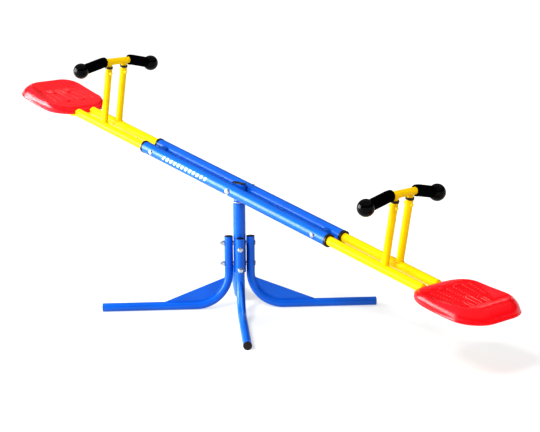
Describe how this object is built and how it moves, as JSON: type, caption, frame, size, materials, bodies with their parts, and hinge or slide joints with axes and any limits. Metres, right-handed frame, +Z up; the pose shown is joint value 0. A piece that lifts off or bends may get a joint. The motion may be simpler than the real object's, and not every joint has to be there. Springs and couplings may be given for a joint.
{
  "type": "seesaw",
  "caption": "Garden seesaw: a twin-tube beam with a dished seat and foam-gripped handlebar at each end rocks on a swivel post that stands on four bent tube legs.",
  "frame": {"origin": "on the ground on the post's axis", "axes": "+Z up along the post; +X horizontally along the beam towards the seat that is down; +Y across the beam"},
  "size_m": [2.1283, 0.6912, 0.7374],
  "materials": {
    "blue_paint": "gloss powder coat",
    "yellow_paint": "gloss powder coat",
    "dark_plastic": "satin moulded",
    "nylon": "natural nylon",
    "yellow_plastic": "gloss moulded",
    "black_gloss": "polished moulded",
    "foam": "closed-cell foam, matte",
    "red_plastic": "gloss moulded",
    "zinc": "bright zinc plate"
  },
  "bodies": {
    "base": {"base_nuts": "zinc", "base_washers": "zinc", "front_bolts": "zinc", "gusset_back": "blue_paint", "gusset_front": "blue_paint", "gusset_left": "blue_paint", "gusset_right": "blue_paint", "leg_back": "blue_paint", "leg_foot_plugs": "dark_plastic", "leg_front": "blue_paint", "leg_left": "blue_paint", "leg_right": "blue_paint", "leg_spacers": "zinc", "leg_top_plugs": "dark_plastic", "post": "blue_paint", "side_bolts": "zinc", "thrust_bush": "nylon", "upper_bush": "nylon"},
    "swivel": {"swivel_tube": "blue_paint", "swivel_cap": "dark_plastic", "pivot_bush": "nylon"},
    "beam": {"arm_bushes": "nylon", "arm_far_high": "yellow_paint", "arm_far_low": "yellow_paint", "arm_near_high": "yellow_paint", "arm_near_low": "yellow_paint", "ball_ends_high": "black_gloss", "ball_ends_low": "black_gloss", "beam_washers": "zinc", "collar_far_high": "dark_plastic", "collar_far_low": "dark_plastic", "collar_near_high": "dark_plastic", "collar_near_low": "dark_plastic", "foam_grips_high": "foam", "foam_grips_low": "foam", "handlebar_high": "yellow_paint", "handlebar_low": "yellow_paint", "pivot_bolt": "zinc", "pivot_nut": "zinc", "seat_bolts_high": "zinc", "seat_bolts_low": "zinc", "seat_high": "red_plastic", "seat_low": "red_plastic", "seat_nuts_high": "zinc", "seat_nuts_low": "zinc", "sleeve_bolts": "zinc", "sleeve_far": "blue_paint", "sleeve_near": "blue_paint", "sleeve_nuts": "zinc", "sleeve_spacers": "blue_paint", "stem_bolts_high": "zinc", "stem_bolts_low": "zinc", "stem_collars_high": "dark_plastic", "stem_collars_low": "dark_plastic", "stem_nuts_high": "yellow_plastic", "stem_nuts_low": "yellow_plastic", "upright_far_high": "yellow_paint", "upright_far_low": "yellow_paint", "upright_near_high": "yellow_paint", "upright_near_low": "yellow_paint"}
  },
  "joints": [
    {"name": "swivel", "type": "hinge", "parent": "base", "child": "swivel", "pos_m": [0, 0, 0.3], "axis": [0, 0, 1], "continuous": true},
    {"name": "tilt", "type": "hinge", "parent": "swivel", "child": "beam", "pos_m": [0, 0, 0.3812], "axis": [0, 1, 0], "range_deg": [-30.45, 9.55]}
  ]
}
